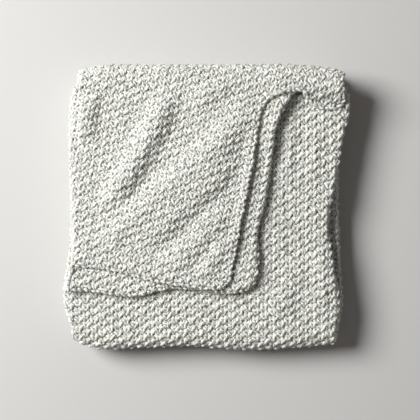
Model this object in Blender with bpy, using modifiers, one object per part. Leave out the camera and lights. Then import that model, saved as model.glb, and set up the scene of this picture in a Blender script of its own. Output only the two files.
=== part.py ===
"""Chunky knit blanket, folded to a near square.

Metres, +Z up, +X to the right, +Y to the back. The origin is under the middle of the folded
blanket. The blanket is one sheet of thick knitted cloth. It is folded in thirds across its
width, so three sheets lie on each other: the outer one ends in a free edge at the right, the
middle one is joined to both others, and the inner one ends in a free edge at the left. That
stack of three goes back and forth in four passes. The last pass is the flap on top, pulled
to the left at its front end.
"""

import math

import bmesh
import bpy

MM = 0.001

# The cloth
CLOTH = 5.2 * MM
PITCH = 7.0 * MM
FOLD_SLACK = 0.5 * MM
SHEETS = 3
PASSES = 4
FLAP = PASSES - 1
OUTER, MIDDLE, INNER = 1.0, 0.0, -1.0

# How the mesh of the flat sheet is divided
FOLD_STEPS = 4
TURN_STEPS = 6
OUTER_STEPS, MIDDLE_STEPS, INNER_STEPS = 20, 8, 9
PASS_STEPS = (4, 4, 8, 24)
OUTER_CLOSER = 0.25
LOWER_CLOSER = 0.6
ROWS_CLOSER = 0.4

# How far the round faces stand out from the lines of the folds
SIDE_REACH = PITCH / 2 + FOLD_SLACK + CLOTH / 2
TURN_REACH = (SHEETS - 0.5) * PITCH + FOLD_SLACK + CLOTH / 2

# Where the passes turn, back and front
BACK_LINE = 206.0 * MM
FRONT_LINE = -204.0 * MM

# Outermost lines of the folds at the left and right of the three lower passes, in mm
SIDES = (
    # y, left and right of the bottom, second and third pass
    (206.0, -203.0, 214.0, -206.0, 217.0, -206.0, 220.0),
    (180.0, -213.0, 216.0, -217.0, 221.0, -216.0, 228.0),
    (150.0, -216.0, 215.0, -220.0, 219.0, -219.0, 225.0),
    (110.0, -217.0, 212.0, -221.0, 215.0, -220.0, 216.0),
    (45.0, -217.0, 210.0, -221.0, 213.0, -219.0, 206.0),
    (-20.0, -218.0, 211.0, -221.0, 214.0, -219.0, 194.0),
    (-85.0, -219.0, 213.0, -223.0, 216.0, -222.0, 200.0),
    (-135.0, -222.0, 216.0, -227.0, 219.0, -230.0, 209.0),
    (-170.0, -220.0, 216.0, -225.0, 219.0, -228.0, 211.0),
    (-204.0, -210.0, 209.0, -214.0, 212.0, -217.0, 206.0),
)

# Outermost lines of the turns at the back and the front, in mm
ENDS = (
    # x, back y, front y
    (-226.0, 209.0, -210.0),
    (-200.0, 220.5, -221.0),
    (-170.0, 227.0, -228.0),
    (-100.0, 228.5, -225.0),
    (-20.0, 228.0, -223.0),
    (60.0, 228.5, -229.0),
    (140.0, 228.0, -225.0),
    (205.0, 221.0, -219.0),
    (230.0, 212.0, -211.0),
)

# How far each sheet's free edge stops short of the fold beside it, bottom pass first
OUTER_SETBACK = (3.0 * MM, 5.0 * MM, 1.0 * MM)
INNER_SETBACK = 1.5 * MM

# Line of the flap's left fold, in mm, and where the outer and the lower sheets end on it
FLAP_LEFT = (
    # y, x
    (199.0, -199.0),
    (183.0, -207.0),
    (160.0, -211.5),
    (85.0, -213.0),
    (0.0, -210.0),
    (-75.0, -208.0),
    (-105.0, -214.0),
    (-131.0, -222.0),
)
FLAP_LEFT_START = 199.0 * MM
OUTER_LEFT_END = -92.0 * MM
LOWER_LEFT_END = -131.0 * MM

# The flap's right side, in mm: the outer sheet's free edge and the fold of the lower two
FLAP_RIGHT = (
    # share of the length from the back, free edge x and y, fold x and y
    (0.0, 214.0, 200.0, 209.0, 200.0),
    (0.065, 214.0, 165.0, 196.0, 196.0),
    (0.095, 176.0, 161.0, 160.0, 195.5),
    (0.12, 150.0, 188.0, 138.0, 190.0),
    (0.17, 114.0, 183.0, 125.0, 176.0),
    (0.24, 91.0, 169.0, 112.0, 153.0),
    (0.32, 80.0, 139.0, 101.0, 124.0),
    (0.46, 70.0, 70.0, 95.0, 68.0),
    (0.62, 57.0, 4.0, 84.0, 2.0),
    (0.73, 49.0, -35.0, 73.0, -38.0),
    (0.81, 43.0, -70.0, 74.0, -72.0),
    (0.89, 37.0, -100.0, 73.0, -100.0),
    (0.95, 33.0, -117.0, 67.0, -121.0),
    (1.0, 22.0, -128.0, 53.0, -133.0),
)

# How the flap's front end bows away from a straight line, in mm
FLAP_END = (
    # share of the width from the left, outer sheet, lower sheets
    (0.0, 0.0, 0.0),
    (0.1, 2.0, 0.0),
    (0.27, 2.0, -6.0),
    (0.41, -1.0, -7.5),
    (0.55, -5.0, 3.0),
    (0.7, -5.0, 5.0),
    (0.9, -4.0, -3.0),
    (1.0, 0.0, 0.0),
)

# The tongue: at the back right the outer sheet runs on past the fold below it, down to
# the third pass. Its rows bend at a waist line.
TONGUE_ROWS = 0.12
TONGUE_COLUMNS = 0.85
WAIST_X = 148.0 * MM
WAIST_Y = 190.0 * MM
TONGUE_LEFT = 152.0 * MM
TONGUE_BLEND = 14.0 * MM
TONGUE_TOP = 192.0 * MM
TONGUE_RUN = 28.0 * MM
TONGUE_DROP = 2 * PITCH

# Soft ridges of the top sheet, in mm: crest from x, y to x, y, sideways bow, height and
# half width
FLAP_RIDGES = (
    (-172.0, 190.0, -192.0, 96.0, 12.0, 7.0, 26.0),
    (-54.0, 200.0, -178.0, -20.0, -10.0, 12.5, 31.0),
    (92.0, 178.0, -192.0, -74.0, -8.0, 11.0, 36.0),
    (62.0, 104.0, -128.0, -72.0, -6.0, 10.0, 34.0),
    (40.0, 12.0, -82.0, -104.0, -8.0, 7.0, 32.0),
    (40.0, 205.0, -30.0, 158.0, 0.0, 5.0, 24.0),
    (44.0, -30.0, -18.0, -122.0, 0.0, 5.0, 22.0),
    (90.0, 172.0, 33.0, -122.0, 0.0, 3.5, 16.0),
)
# The same for the whole flap
FLAP_LIFTS = (
    (136.0, 206.0, 90.0, 70.0, -4.0, 6.0, 42.0),
)
# The same for the top sheet of the third pass
BASE_RIDGES = (
    (137.0, 150.0, 131.0, 40.0, 0.0, 3.0, 15.0),
    (172.0, 140.0, 168.0, 40.0, 0.0, 3.5, 18.0),
    (183.0, -60.0, 182.0, -180.0, 0.0, 4.0, 22.0),
    (150.0, -80.0, 110.0, -200.0, 4.0, 3.5, 24.0),
)
RIDGE_FADE = 0.3
RIDGE_START = 0.1

# Shares of the flap's length: over one its right fold takes and leaves its own direction,
# and the other is the step that direction is measured over
FOLD_TURNS_OUT = 0.04
FOLD_STEP = 0.01

# Small shift that puts the origin under the middle
TO_MIDDLE = (0.5 * MM, -0.3 * MM, 0.0)

YARN_COLOUR = (0.56, 0.565, 0.53, 1.0)
YARN_ROUGHNESS = 0.95


def clear_scene():
    """Remove every object that is already there."""
    for item in list(bpy.data.objects):
        bpy.data.objects.remove(item)


def ease(amount):
    """Smooth step from 0 to 1."""
    amount = min(max(amount, 0.0), 1.0)
    return amount * amount * (3.0 - 2.0 * amount)


def mix(first, second, share):
    """Value between two others."""
    return first + (second - first) * share


def on_curve(places, values, at):
    """Smooth curve through a table's values, straight past its ends."""
    last = len(places) - 1
    slopes = []
    for row in range(last + 1):
        low = max(row - 1, 0)
        high = min(row + 1, last)
        slopes.append((values[high] - values[low]) / (places[high] - places[low]))
    if at <= places[0]:
        return values[0] + slopes[0] * (at - places[0])
    if at >= places[last]:
        return values[last] + slopes[last] * (at - places[last])
    row = 0
    while places[row + 1] < at:
        row += 1
    span = places[row + 1] - places[row]
    share = (at - places[row]) / span
    rise = mix(values[row], values[row + 1], ease(share))
    rise += span * slopes[row] * share * (1.0 - share) ** 2
    return rise - span * slopes[row + 1] * share ** 2 * (1.0 - share)


def column_at(table, key, column, at):
    """Value in metres of one column of a table in mm, at a place in metres along its key."""
    rows = sorted(table, key=lambda row: row[key])
    places = [row[key] * MM for row in rows]
    values = [row[column] * MM for row in rows]
    return on_curve(places, values, at)


def stations(steps, closer):
    """Places from 0 to 1, closer together at both ends."""
    places = []
    for step in range(steps + 1):
        share = step / steps
        swing = closer * math.sin(2.0 * math.pi * share) / (2.0 * math.pi)
        places.append(share - swing)
    return places


def back_line(x):
    """Line where the stack turns at the back."""
    return column_at(ENDS, 0, 1, x) - TURN_REACH


def front_line(x):
    """Line where the stack turns at the front."""
    return column_at(ENDS, 0, 2, x) + TURN_REACH


def lower_plan(number, level, across, along):
    """Plan place on one of the three lower passes, before a side fold's bulge."""
    nominal = mix(BACK_LINE, FRONT_LINE, along)
    left = column_at(SIDES, 0, 1 + 2 * number, nominal) + SIDE_REACH
    right = column_at(SIDES, 0, 2 + 2 * number, nominal) - SIDE_REACH
    right += max(level, 0.0) * (SIDE_REACH - OUTER_SETBACK[number])
    left -= max(-level, 0.0) * (SIDE_REACH - INNER_SETBACK)
    x = mix(left, right, across)
    y = nominal + (1.0 - along) * (back_line(x) - BACK_LINE)
    y += along * (front_line(x) - FRONT_LINE)
    return x, y


def flap_left(level, along):
    """Point on the flap's left side, where a row of it starts."""
    end = mix(LOWER_LEFT_END, OUTER_LEFT_END, max(level, 0.0))
    y = mix(FLAP_LEFT_START, end, along)
    x = column_at(FLAP_LEFT, 0, 1, y)
    return x - max(-level, 0.0) * (SIDE_REACH - INNER_SETBACK), y


def flap_right(level, along):
    """Point on the flap's right side, where a row of it ends."""
    shares = [row[0] for row in FLAP_RIGHT]
    point = []
    for outer, lower in ((1, 3), (2, 4)):
        over = on_curve(shares, [row[outer] * MM for row in FLAP_RIGHT], along)
        under = on_curve(shares, [row[lower] * MM for row in FLAP_RIGHT], along)
        point.append(mix(under, over, max(level, 0.0)))
    return point


def tongue_waist(left, right, along):
    """Point where a row of the outer sheet bends towards the tongue."""
    waist_y = mix(FLAP_LEFT_START, WAIST_Y, min(along / TONGUE_ROWS, 1.0))
    settled = ease((along - TONGUE_ROWS) / TONGUE_ROWS)
    free = (right[0], right[1]) if along > TONGUE_ROWS else (WAIST_X, waist_y)
    straight_x = mix(left[0], right[0], TONGUE_COLUMNS)
    straight_y = mix(left[1], right[1], TONGUE_COLUMNS)
    return mix(free[0], straight_x, settled), mix(free[1], straight_y, settled)


def flap_row_point(level, across, along):
    """Place on a row of the flap, before the back line and the front end bend it."""
    left = flap_left(level, along)
    right = flap_right(level, along)
    x = mix(left[0], right[0], across)
    y = mix(left[1], right[1], across)
    if level <= 0.0:
        return x, y
    waist = tongue_waist(left, right, along)
    if across < TONGUE_COLUMNS:
        share = across / TONGUE_COLUMNS
        bent = mix(left[0], waist[0], share), mix(left[1], waist[1], share)
    else:
        share = (across - TONGUE_COLUMNS) / (1.0 - TONGUE_COLUMNS)
        bent = mix(waist[0], right[0], share), mix(waist[1], right[1], share)
    return mix(x, bent[0], level), mix(y, bent[1], level)


def flap_plan(level, across, along):
    """Plan place on the flap, before a side fold's bulge."""
    x, y = flap_row_point(level, across, along)
    start_x, start_y = flap_row_point(level, across, 0.0)
    y += (1.0 - along) ** 2 * (back_line(start_x) - start_y)
    shares = [row[0] for row in FLAP_END]
    over = on_curve(shares, [row[1] * MM for row in FLAP_END], across)
    under = on_curve(shares, [row[2] * MM for row in FLAP_END], across)
    y += along ** 2 * mix(under, over, max(level, 0.0))
    return x, y


def plan(number, level, across, along):
    """Plan place on any pass."""
    if number == FLAP:
        return flap_plan(level, across, along)
    return lower_plan(number, level, across, along)


def fold_direction(number, bulge, level, across, along):
    """Unit vector in plan that a side fold bulges along."""
    straight = (math.copysign(1.0, bulge), 0.0)
    if number != FLAP or bulge < 0.0:
        return straight
    behind = plan(number, level, across, max(along - FOLD_STEP, 0.0))
    ahead = plan(number, level, across, min(along + FOLD_STEP, 1.0))
    length = math.dist(behind, ahead)
    square = ((behind[1] - ahead[1]) / length, (ahead[0] - behind[0]) / length)
    turned = ease(along / FOLD_TURNS_OUT) * ease((1.0 - along) / FOLD_TURNS_OUT)
    x = mix(straight[0], square[0], turned)
    y = mix(straight[1], square[1], turned)
    size = math.hypot(x, y)
    return x / size, y / size


def ridge_height(table, x, y):
    """Height of a table's soft ridges at a place in plan."""
    total = 0.0
    for x_start, y_start, x_end, y_end, bow, height, half_width in table:
        run_x = (x_end - x_start) * MM
        run_y = (y_end - y_start) * MM
        length = math.hypot(run_x, run_y)
        from_x = x - x_start * MM
        from_y = y - y_start * MM
        share = (from_x * run_x + from_y * run_y) / length ** 2
        offset = (from_x * run_y - from_y * run_x) / length
        offset -= 4.0 * bow * MM * share * (1.0 - share)
        if 0.0 < share < 1.0 and abs(offset) < half_width * MM:
            crown = 0.5 + 0.5 * math.cos(math.pi * offset / (half_width * MM))
            fade = ease(share / RIDGE_FADE) * ease((1.0 - share) / RIDGE_FADE)
            total += height * MM * crown * fade
    return total


def pass_point(number, level, across, bulge, along):
    """Place in space of a point on a pass."""
    x, y = plan(number, level, across, along)
    if bulge:
        reach = abs(bulge) * (PITCH / 2 + FOLD_SLACK)
        direction = fold_direction(number, bulge, level, across, along)
        x += reach * direction[0]
        y += reach * direction[1]
    outer_up = 1.0 if number % 2 else -1.0
    z = CLOTH / 2 + PITCH * (SHEETS * number + 1.0 + outer_up * level)
    if number == FLAP:
        top_only = max(level, 0.0) * ease(along / RIDGE_START)
        z += ridge_height(FLAP_RIDGES, x, y) * top_only
        z += ridge_height(FLAP_LIFTS, x, y)
        tongue = max(level, 0.0) * ease((x - TONGUE_LEFT) / TONGUE_BLEND)
        z -= TONGUE_DROP * tongue * ease((TONGUE_TOP - y) / TONGUE_RUN)
    elif number == FLAP - 1:
        z += ridge_height(BASE_RIDGES, x, y) * max(-level, 0.0)
    return x, y, z


def turn_point(number, level, across, bulge, angle):
    """Place in space of a point on the turn above a pass."""
    at_back = number % 2 == 0
    end = 0.0 if at_back else 1.0
    below = plan(number, level, across, end)
    above = plan(number + 1, level, across, end)
    x = mix(below[0], above[0], ease(angle / math.pi))
    y = mix(below[1], above[1], ease(angle / math.pi))
    x += bulge * (PITCH / 2 + FOLD_SLACK)
    outward = 1.0 if at_back else -1.0
    radius = PITCH * (SHEETS / 2 + outward * level)
    y += outward * (radius + FOLD_SLACK) * math.sin(angle)
    middle = CLOTH / 2 + PITCH * (SHEETS * number + SHEETS - 0.5)
    return x, y, middle - radius * math.cos(angle)


def columns():
    """Level, place across and bulge of each column of the mesh, free edge to free edge."""
    places = stations(OUTER_STEPS, OUTER_CLOSER)
    listed = [(OUTER, 1.0 - place, 0.0) for place in places]
    for step in range(1, FOLD_STEPS):
        angle = math.pi * step / FOLD_STEPS
        listed.append((0.5 + 0.5 * math.cos(angle), 0.0, -math.sin(angle)))
    listed += [(MIDDLE, place, 0.0) for place in stations(MIDDLE_STEPS, LOWER_CLOSER)]
    for step in range(1, FOLD_STEPS):
        angle = math.pi * step / FOLD_STEPS
        listed.append((-0.5 + 0.5 * math.cos(angle), 1.0, math.sin(angle)))
    places = stations(INNER_STEPS, LOWER_CLOSER)
    listed += [(INNER, 1.0 - place, 0.0) for place in places]
    return listed


def rows():
    """Function, pass and place along it of each row of the mesh, bottom pass first."""
    listed = []
    for number in range(PASSES):
        places = stations(PASS_STEPS[number], ROWS_CLOSER)
        if number % 2 == 0:
            places.reverse()
        listed += [(pass_point, number, place) for place in places]
        if number < FLAP:
            for step in range(1, TURN_STEPS):
                listed.append((turn_point, number, math.pi * step / TURN_STEPS))
    return listed


def folded_mesh():
    """Flat grid of the whole sheet, with each of its points moved to its folded place."""
    across = columns()
    along = rows()
    cloth = bmesh.new()
    wide = len(across) - 1
    long = len(along) - 1
    bmesh.ops.create_grid(cloth, x_segments=wide, y_segments=long, size=1.0)
    for point in cloth.verts:
        column = across[round((point.co.x + 1.0) / 2.0 * wide)]
        place, number, station = along[round((point.co.y + 1.0) / 2.0 * long)]
        point.co = place(number, *column, station)
    bmesh.ops.translate(cloth, verts=cloth.verts, vec=TO_MIDDLE)
    cloth.normal_update()
    mesh = bpy.data.meshes.new("blanket")
    cloth.to_mesh(mesh)
    cloth.free()
    return mesh


def yarn_material():
    """Light grey marl yarn."""
    material = bpy.data.materials.new("grey_marl_yarn")
    material.use_nodes = True
    shader = material.node_tree.nodes["Principled BSDF"]
    shader.inputs["Base Color"].default_value = YARN_COLOUR
    shader.inputs["Roughness"].default_value = YARN_ROUGHNESS
    shader.inputs["Metallic"].default_value = 0.0
    return material


def build_blanket(collection):
    """The one knitted sheet, folded, with its thickness."""
    mesh = folded_mesh()
    mesh.shade_smooth()
    mesh.materials.append(yarn_material())
    blanket = bpy.data.objects.new("blanket", mesh)
    collection.objects.link(blanket)
    wall = blanket.modifiers.new("cloth thickness", "SOLIDIFY")
    wall.thickness = CLOTH
    wall.offset = 0.0
    wall.use_even_offset = True
    return blanket


def main():
    """Build the folded blanket in its own collection."""
    clear_scene()
    collection = bpy.data.collections.new("chunky_knit_blanket")
    bpy.context.scene.collection.children.link(collection)
    build_blanket(collection)


main()
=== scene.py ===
"""Looks of the chunky knit blanket, folded to a near square.

Metres, +Z up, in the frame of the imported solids. The cloth is one thin sheet with the solid's
folds, and on every face of it that shows lie real loops of yarn in seed stitch.
"""

import functools
import math

import bmesh
import bpy
import numpy as np
from bpy.props import FloatProperty, FloatVectorProperty, IntProperty, PointerProperty
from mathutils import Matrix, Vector
from mathutils.bvhtree import BVHTree


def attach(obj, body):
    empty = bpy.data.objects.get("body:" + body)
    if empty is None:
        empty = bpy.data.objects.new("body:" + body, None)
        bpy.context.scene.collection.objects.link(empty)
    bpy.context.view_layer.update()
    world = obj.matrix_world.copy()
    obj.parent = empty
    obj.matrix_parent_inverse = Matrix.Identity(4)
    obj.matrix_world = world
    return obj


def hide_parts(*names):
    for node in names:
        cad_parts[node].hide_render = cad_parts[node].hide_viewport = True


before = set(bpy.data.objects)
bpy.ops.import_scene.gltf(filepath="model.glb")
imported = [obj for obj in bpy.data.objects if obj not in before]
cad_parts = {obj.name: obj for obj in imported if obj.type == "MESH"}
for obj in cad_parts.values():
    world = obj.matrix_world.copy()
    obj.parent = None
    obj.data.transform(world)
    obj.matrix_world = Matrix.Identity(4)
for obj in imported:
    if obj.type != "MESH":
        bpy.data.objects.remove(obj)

bl_info = {
    "name": "Chunky Knit Blanket",
    "version": (1, 0, 0),
    "blender": (4, 5, 0),
    "location": "3D View > Sidebar > Blanket",
    "description": "A folded throw in seed stitch, with its yarn, cloth and studio",
    "category": "Add Mesh",
}

MM = 0.001
BODY = "root"

# The cloth and its folds, the same as the solid's
CLOTH = 5.2 * MM
PITCH = 7.0 * MM
FOLD_SLACK = 0.5 * MM
SHEETS = 3
PASSES = 4
FLAP = PASSES - 1
OUTER, MIDDLE, INNER = 1.0, 0.0, -1.0

# How the flat sheet is divided
FOLD_STEPS = 8
TURN_STEPS = 12
OUTER_STEPS, MIDDLE_STEPS, INNER_STEPS = 44, 28, 30
PASS_STEPS = (22, 22, 34, 56)
OUTER_CLOSER = 0.25
LOWER_CLOSER = 0.6
ROWS_CLOSER = 0.4

# How far the round faces stand out from the lines of the folds
SIDE_REACH = PITCH / 2 + FOLD_SLACK + CLOTH / 2
TURN_REACH = (SHEETS - 0.5) * PITCH + FOLD_SLACK + CLOTH / 2

# Where the passes turn, back and front
BACK_LINE = 206.0 * MM
FRONT_LINE = -204.0 * MM

# Outermost lines of the folds at the left and right of the three lower passes, in mm
SIDES = (
    # y, left and right of the bottom, second and third pass
    (206.0, -203.0, 214.0, -206.0, 217.0, -206.0, 220.0),
    (180.0, -213.0, 216.0, -217.0, 221.0, -216.0, 228.0),
    (150.0, -216.0, 215.0, -220.0, 219.0, -219.0, 225.0),
    (110.0, -217.0, 212.0, -221.0, 215.0, -220.0, 216.0),
    (45.0, -217.0, 210.0, -221.0, 213.0, -219.0, 206.0),
    (-20.0, -218.0, 211.0, -221.0, 214.0, -219.0, 194.0),
    (-85.0, -219.0, 213.0, -223.0, 216.0, -222.0, 200.0),
    (-135.0, -222.0, 216.0, -227.0, 219.0, -230.0, 209.0),
    (-170.0, -220.0, 216.0, -225.0, 219.0, -228.0, 211.0),
    (-204.0, -210.0, 209.0, -214.0, 212.0, -217.0, 206.0),
)

# Outermost lines of the turns at the back and the front, in mm
ENDS = (
    # x, back y, front y
    (-226.0, 209.0, -210.0),
    (-200.0, 220.5, -221.0),
    (-170.0, 227.0, -228.0),
    (-100.0, 228.5, -225.0),
    (-20.0, 228.0, -223.0),
    (60.0, 228.5, -229.0),
    (140.0, 228.0, -225.0),
    (205.0, 221.0, -219.0),
    (230.0, 212.0, -211.0),
)

# How far each sheet's free edge stops short of the fold beside it, bottom pass first
OUTER_SETBACK = (3.0 * MM, 5.0 * MM, 1.0 * MM)
INNER_SETBACK = 1.5 * MM

# Line of the flap's left fold, in mm, and where the outer and the lower sheets end on it
FLAP_LEFT = (
    # y, x
    (199.0, -199.0),
    (183.0, -207.0),
    (160.0, -211.5),
    (85.0, -213.0),
    (0.0, -210.0),
    (-75.0, -208.0),
    (-105.0, -214.0),
    (-131.0, -222.0),
)
FLAP_LEFT_START = 199.0 * MM
OUTER_LEFT_END = -92.0 * MM
LOWER_LEFT_END = -131.0 * MM

# The flap's right side, in mm: the outer sheet's free edge and the fold of the lower two
FLAP_RIGHT = (
    # share of the length from the back, free edge x and y, fold x and y
    (0.0, 214.0, 200.0, 209.0, 200.0),
    (0.065, 214.0, 165.0, 196.0, 196.0),
    (0.095, 176.0, 161.0, 160.0, 195.5),
    (0.12, 150.0, 188.0, 138.0, 190.0),
    (0.17, 114.0, 183.0, 125.0, 176.0),
    (0.24, 91.0, 169.0, 112.0, 153.0),
    (0.32, 80.0, 139.0, 101.0, 124.0),
    (0.46, 70.0, 70.0, 95.0, 68.0),
    (0.62, 57.0, 4.0, 84.0, 2.0),
    (0.73, 49.0, -35.0, 73.0, -38.0),
    (0.81, 43.0, -70.0, 74.0, -72.0),
    (0.89, 37.0, -100.0, 73.0, -100.0),
    (0.95, 33.0, -117.0, 67.0, -121.0),
    (1.0, 22.0, -128.0, 53.0, -133.0),
)

# How the flap's front end bows away from a straight line, in mm
FLAP_END = (
    # share of the width from the left, outer sheet, lower sheets
    (0.0, 0.0, 0.0),
    (0.1, 2.0, 0.0),
    (0.27, 2.0, -6.0),
    (0.41, -1.0, -7.5),
    (0.55, -5.0, 3.0),
    (0.7, -5.0, 5.0),
    (0.9, -4.0, -3.0),
    (1.0, 0.0, 0.0),
)

# The tongue: at the back right the outer sheet runs on past the fold below it, down to
# the third pass. Its rows bend at a waist line.
TONGUE_ROWS = 0.12
TONGUE_COLUMNS = 0.85
WAIST_X = 148.0 * MM
WAIST_Y = 190.0 * MM
TONGUE_LEFT = 152.0 * MM
TONGUE_BLEND = 14.0 * MM
TONGUE_TOP = 192.0 * MM
TONGUE_RUN = 28.0 * MM
TONGUE_DROP = 2 * PITCH

# Soft ridges of the top sheet, in mm: crest from x, y to x, y, sideways bow, height and
# half width
FLAP_RIDGES = (
    (-172.0, 190.0, -192.0, 96.0, 12.0, 7.0, 26.0),
    (-54.0, 200.0, -178.0, -20.0, -10.0, 12.5, 31.0),
    (92.0, 178.0, -192.0, -74.0, -8.0, 11.0, 36.0),
    (62.0, 104.0, -128.0, -72.0, -6.0, 10.0, 34.0),
    (40.0, 12.0, -82.0, -104.0, -8.0, 7.0, 32.0),
    (40.0, 205.0, -30.0, 158.0, 0.0, 5.0, 24.0),
    (44.0, -30.0, -18.0, -122.0, 0.0, 5.0, 22.0),
    (90.0, 172.0, 33.0, -122.0, 0.0, 3.5, 16.0),
)
# The same for the whole flap
FLAP_LIFTS = (
    (136.0, 206.0, 90.0, 70.0, -4.0, 6.0, 42.0),
)
# The same for the top sheet of the third pass
BASE_RIDGES = (
    (137.0, 150.0, 131.0, 40.0, 0.0, 3.0, 15.0),
    (172.0, 140.0, 168.0, 40.0, 0.0, 3.5, 18.0),
    (183.0, -60.0, 182.0, -180.0, 0.0, 4.0, 22.0),
    (150.0, -80.0, 110.0, -200.0, 4.0, 3.5, 24.0),
)
RIDGE_FADE = 0.3
RIDGE_START = 0.1

# Shares of the flap's length: over one its right fold takes and leaves its own direction,
# and the other is the step that direction is measured over
FOLD_TURNS_OUT = 0.04
FOLD_STEP = 0.01

# Small shift that puts the origin under the middle
TO_MIDDLE = (0.5 * MM, -0.3 * MM, 0.0)


def ease(amount):
    """Smooth step from 0 to 1."""
    amount = min(max(amount, 0.0), 1.0)
    return amount * amount * (3.0 - 2.0 * amount)


def mix(first, second, share):
    """Value between two others."""
    return first + (second - first) * share


def on_curve(places, values, at):
    """Smooth curve through a table's values, straight past its ends."""
    last = len(places) - 1
    slopes = []
    for row in range(last + 1):
        low = max(row - 1, 0)
        high = min(row + 1, last)
        slopes.append((values[high] - values[low]) / (places[high] - places[low]))
    if at <= places[0]:
        return values[0] + slopes[0] * (at - places[0])
    if at >= places[last]:
        return values[last] + slopes[last] * (at - places[last])
    row = 0
    while places[row + 1] < at:
        row += 1
    span = places[row + 1] - places[row]
    share = (at - places[row]) / span
    rise = mix(values[row], values[row + 1], ease(share))
    rise += span * slopes[row] * share * (1.0 - share) ** 2
    return rise - span * slopes[row + 1] * share ** 2 * (1.0 - share)


def column_at(table, key, column, at):
    """Value in metres of one column of a table in mm, at a place in metres along its key."""
    rows = sorted(table, key=lambda row: row[key])
    places = [row[key] * MM for row in rows]
    values = [row[column] * MM for row in rows]
    return on_curve(places, values, at)


def stations(steps, closer):
    """Places from 0 to 1, closer together at both ends."""
    places = []
    for step in range(steps + 1):
        share = step / steps
        swing = closer * math.sin(2.0 * math.pi * share) / (2.0 * math.pi)
        places.append(share - swing)
    return places


def back_line(x):
    """Line where the stack turns at the back."""
    return column_at(ENDS, 0, 1, x) - TURN_REACH


def front_line(x):
    """Line where the stack turns at the front."""
    return column_at(ENDS, 0, 2, x) + TURN_REACH


def lower_plan(number, level, across, along):
    """Plan place on one of the three lower passes, before a side fold's bulge."""
    nominal = mix(BACK_LINE, FRONT_LINE, along)
    left = column_at(SIDES, 0, 1 + 2 * number, nominal) + SIDE_REACH
    right = column_at(SIDES, 0, 2 + 2 * number, nominal) - SIDE_REACH
    right += max(level, 0.0) * (SIDE_REACH - OUTER_SETBACK[number])
    left -= max(-level, 0.0) * (SIDE_REACH - INNER_SETBACK)
    x = mix(left, right, across)
    y = nominal + (1.0 - along) * (back_line(x) - BACK_LINE)
    y += along * (front_line(x) - FRONT_LINE)
    return x, y


def flap_left(level, along):
    """Point on the flap's left side, where a row of it starts."""
    end = mix(LOWER_LEFT_END, OUTER_LEFT_END, max(level, 0.0))
    y = mix(FLAP_LEFT_START, end, along)
    x = column_at(FLAP_LEFT, 0, 1, y)
    return x - max(-level, 0.0) * (SIDE_REACH - INNER_SETBACK), y


def flap_right(level, along):
    """Point on the flap's right side, where a row of it ends."""
    shares = [row[0] for row in FLAP_RIGHT]
    point = []
    for outer, lower in ((1, 3), (2, 4)):
        over = on_curve(shares, [row[outer] * MM for row in FLAP_RIGHT], along)
        under = on_curve(shares, [row[lower] * MM for row in FLAP_RIGHT], along)
        point.append(mix(under, over, max(level, 0.0)))
    return point


def tongue_waist(left, right, along):
    """Point where a row of the outer sheet bends towards the tongue."""
    waist_y = mix(FLAP_LEFT_START, WAIST_Y, min(along / TONGUE_ROWS, 1.0))
    settled = ease((along - TONGUE_ROWS) / TONGUE_ROWS)
    free = (right[0], right[1]) if along > TONGUE_ROWS else (WAIST_X, waist_y)
    straight_x = mix(left[0], right[0], TONGUE_COLUMNS)
    straight_y = mix(left[1], right[1], TONGUE_COLUMNS)
    return mix(free[0], straight_x, settled), mix(free[1], straight_y, settled)


def flap_row_point(level, across, along):
    """Place on a row of the flap, before the back line and the front end bend it."""
    left = flap_left(level, along)
    right = flap_right(level, along)
    x = mix(left[0], right[0], across)
    y = mix(left[1], right[1], across)
    if level <= 0.0:
        return x, y
    waist = tongue_waist(left, right, along)
    if across < TONGUE_COLUMNS:
        share = across / TONGUE_COLUMNS
        bent = mix(left[0], waist[0], share), mix(left[1], waist[1], share)
    else:
        share = (across - TONGUE_COLUMNS) / (1.0 - TONGUE_COLUMNS)
        bent = mix(waist[0], right[0], share), mix(waist[1], right[1], share)
    return mix(x, bent[0], level), mix(y, bent[1], level)


def flap_plan(level, across, along):
    """Plan place on the flap, before a side fold's bulge."""
    x, y = flap_row_point(level, across, along)
    start_x, start_y = flap_row_point(level, across, 0.0)
    y += (1.0 - along) ** 2 * (back_line(start_x) - start_y)
    shares = [row[0] for row in FLAP_END]
    over = on_curve(shares, [row[1] * MM for row in FLAP_END], across)
    under = on_curve(shares, [row[2] * MM for row in FLAP_END], across)
    y += along ** 2 * mix(under, over, max(level, 0.0))
    return x, y


def plan(number, level, across, along):
    """Plan place on any pass."""
    if number == FLAP:
        return flap_plan(level, across, along)
    return lower_plan(number, level, across, along)


def fold_direction(number, bulge, level, across, along):
    """Unit vector in plan that a side fold bulges along."""
    straight = (math.copysign(1.0, bulge), 0.0)
    if number != FLAP or bulge < 0.0:
        return straight
    behind = plan(number, level, across, max(along - FOLD_STEP, 0.0))
    ahead = plan(number, level, across, min(along + FOLD_STEP, 1.0))
    length = math.dist(behind, ahead)
    square = ((behind[1] - ahead[1]) / length, (ahead[0] - behind[0]) / length)
    turned = ease(along / FOLD_TURNS_OUT) * ease((1.0 - along) / FOLD_TURNS_OUT)
    x = mix(straight[0], square[0], turned)
    y = mix(straight[1], square[1], turned)
    size = math.hypot(x, y)
    return x / size, y / size


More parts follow.
